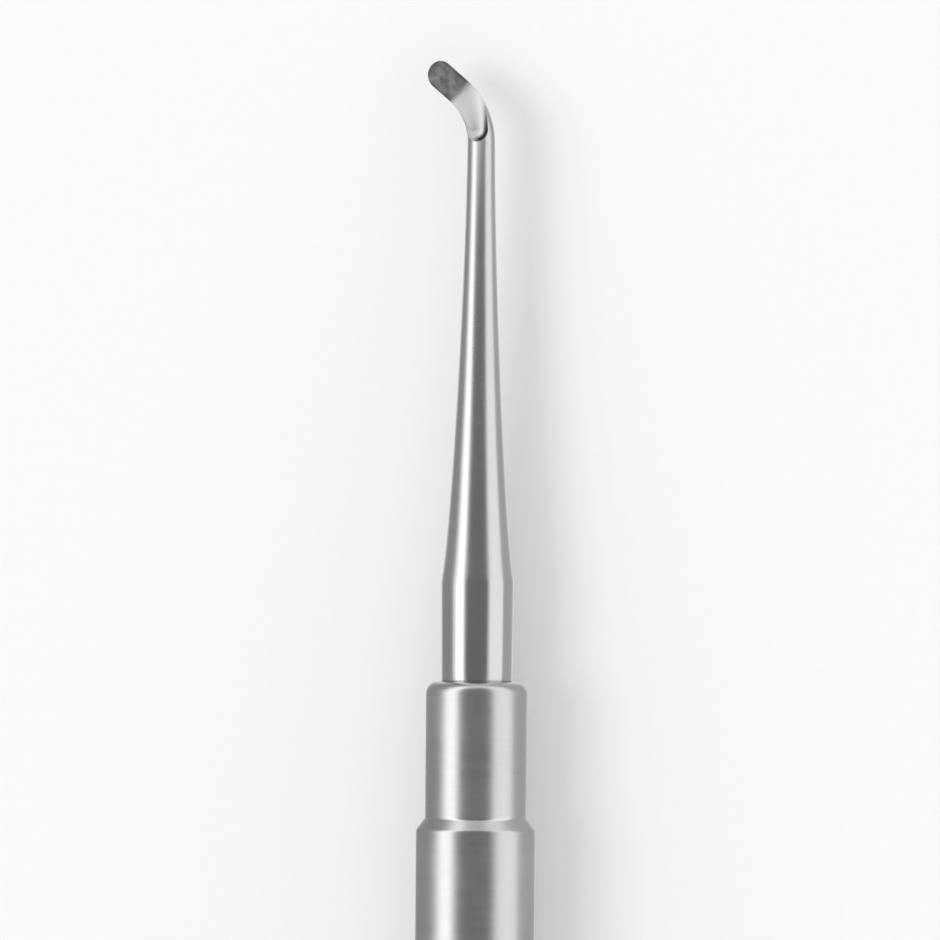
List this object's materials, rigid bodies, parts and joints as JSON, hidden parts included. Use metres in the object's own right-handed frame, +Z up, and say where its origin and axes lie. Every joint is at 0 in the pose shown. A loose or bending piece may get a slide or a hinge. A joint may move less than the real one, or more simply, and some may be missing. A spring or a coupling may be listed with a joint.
{
  "type": "dental elevator",
  "caption": "Slim steel hand instrument: a bent, hollow-ground blade on a tapered shank, set in the collar of a round hollow handle with a rounded butt.",
  "frame": {"origin": "on the surface it lies on, under the axis and the middle of its length", "axes": "+Y along the axis from the butt to the blade, +Z up out of the blade's hollow face, and the blade bends towards -X"},
  "size_m": [0.0107, 0.16, 0.0107],
  "materials": {
    "polished_steel": "polished stainless steel, ground face on the blade",
    "satin_steel": "satin turned stainless steel"
  },
  "bodies": {
    "root": {"working_end": "polished_steel", "handle": "satin_steel", "butt_plug": "satin_steel"}
  },
  "joints": []
}
